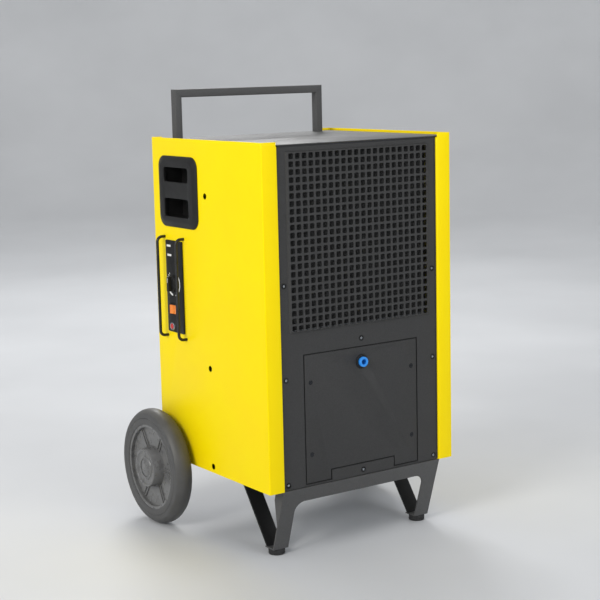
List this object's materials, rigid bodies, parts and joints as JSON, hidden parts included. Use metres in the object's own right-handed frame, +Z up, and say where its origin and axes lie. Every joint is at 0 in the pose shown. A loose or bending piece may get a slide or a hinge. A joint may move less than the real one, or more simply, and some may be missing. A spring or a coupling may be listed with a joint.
{
  "type": "dehumidifier",
  "caption": "Wheeled refrigerant dehumidifier: folded sheet-steel cabinet with intake grille, side grips, dial and switch, push bow, two wheels and two splayed legs.",
  "frame": {"origin": "on the floor, under the middle of the whole machine's box", "axes": "+X is the machine's right side, -Y its front with the intake grille, +Z up"},
  "size_m": [0.66, 0.5882, 1.04],
  "materials": {
    "yellow_coat": "semi-gloss powder coat",
    "grey_coat": "fine-textured matt powder coat",
    "zinc_sheet": "galvanised",
    "foot_rubber": "matt",
    "bright_steel": "turned",
    "zinc_screw": "bright zinc",
    "tyre_rubber": "matt",
    "hub_plastic": "moulded",
    "bearing_plastic": "moulded",
    "black_plastic": "fine spark-eroded texture",
    "black_rod": "semi-gloss",
    "white_print": "printed",
    "orange_plastic": "gloss",
    "red_lens": "clear tinted",
    "blue_plastic": "gloss",
    "hose_plastic": "translucent",
    "filter_foam": "open-cell foam",
    "aluminium_fin": "rolled",
    "black_enamel": "gloss enamel",
    "grey_motor": "cast",
    "copper": "drawn copper",
    "white_plastic": "moulded"
  },
  "bodies": {
    "chassis": {"side_panel_left": "yellow_coat", "side_panel_right": "yellow_coat", "front_panel": "grey_coat", "service_cover": "grey_coat", "rear_panel": "grey_coat", "top_cover": "grey_coat", "base_pan": "zinc_sheet", "mid_deck": "zinc_sheet", "leg_frame": "grey_coat", "leg_strut_left": "grey_coat", "leg_strut_right": "grey_coat", "foot_pad_left": "foot_rubber", "foot_pad_right": "foot_rubber", "axle": "bright_steel", "axle_bracket_left": "grey_coat", "axle_bracket_right": "grey_coat", "axle_clips": "bright_steel", "handle_bow": "grey_coat", "grip_left": "black_plastic", "grip_right": "black_plastic", "guard_rail_front": "black_rod", "guard_rail_rear": "black_rod", "control_plate": "black_plastic", "dial_scale": "white_print", "hygrostat": "bearing_plastic", "rocker_frame": "black_plastic", "pilot_lamp": "red_lens", "control_box": "zinc_sheet", "push_fit_body": "black_plastic", "drain_hose": "hose_plastic", "filter_frame": "zinc_sheet", "filter_mat": "filter_foam", "evaporator": "aluminium_fin", "condenser": "aluminium_fin", "fan_shroud": "zinc_sheet", "fan_motor": "grey_motor", "compressor": "black_enamel", "compressor_mounts": "foot_rubber", "suction_line": "copper", "discharge_line": "copper", "liquid_line": "copper", "run_capacitor": "white_plastic", "drip_tray": "white_plastic", "pump_tank": "white_plastic", "pump_head": "grey_motor", "cable_gland": "black_plastic", "screws": "zinc_screw"},
    "wheel_left": {"tyre_left": "tyre_rubber", "hub_left": "hub_plastic", "bush_left": "bearing_plastic", "hub_cap_left": "hub_plastic"},
    "wheel_right": {"tyre_right": "tyre_rubber", "hub_right": "hub_plastic", "bush_right": "bearing_plastic", "hub_cap_right": "hub_plastic"},
    "fan_rotor": {"fan_impeller": "black_plastic"},
    "dial": {"dial_knob": "black_plastic"},
    "rocker": {"rocker_paddle": "orange_plastic"},
    "hose_collet": {"push_fit_collet": "blue_plastic"},
    "float": {"float_lever": "white_plastic"}
  },
  "joints": [
    {"name": "wheel_left_spin", "type": "hinge", "parent": "chassis", "child": "wheel_left", "pos_m": [-0.2955, 0.15415, 0.14], "axis": [1, 0, 0], "continuous": true},
    {"name": "wheel_right_spin", "type": "hinge", "parent": "chassis", "child": "wheel_right", "pos_m": [0.2955, 0.15415, 0.14], "axis": [1, 0, 0], "continuous": true},
    {"name": "fan_spin", "type": "hinge", "parent": "chassis", "child": "fan_rotor", "pos_m": [0, -0.05885, 0.7099], "axis": [0, 1, 0], "continuous": true},
    {"name": "dial_turn", "type": "hinge", "parent": "chassis", "child": "dial", "pos_m": [-0.27, 0.09815, 0.588], "axis": [1, 0, 0], "range_deg": [0, 270]},
    {"name": "rocker_tilt", "type": "hinge", "parent": "chassis", "child": "rocker", "pos_m": [-0.259, 0.10315, 0.526], "axis": [0, 0, 1], "range_deg": [-16, 0]},
    {"name": "collet_press", "type": "slide", "parent": "chassis", "child": "hose_collet", "axis": [0, 1, 0], "range_m": [0, 0.0015], "stiffness_N_per_m": 1000},
    {"name": "float_swing", "type": "hinge", "parent": "chassis", "child": "float", "pos_m": [-0.14, -0.16185, 0.2461], "axis": [0, -1, 0], "range_deg": [0, 25]}
  ]
}
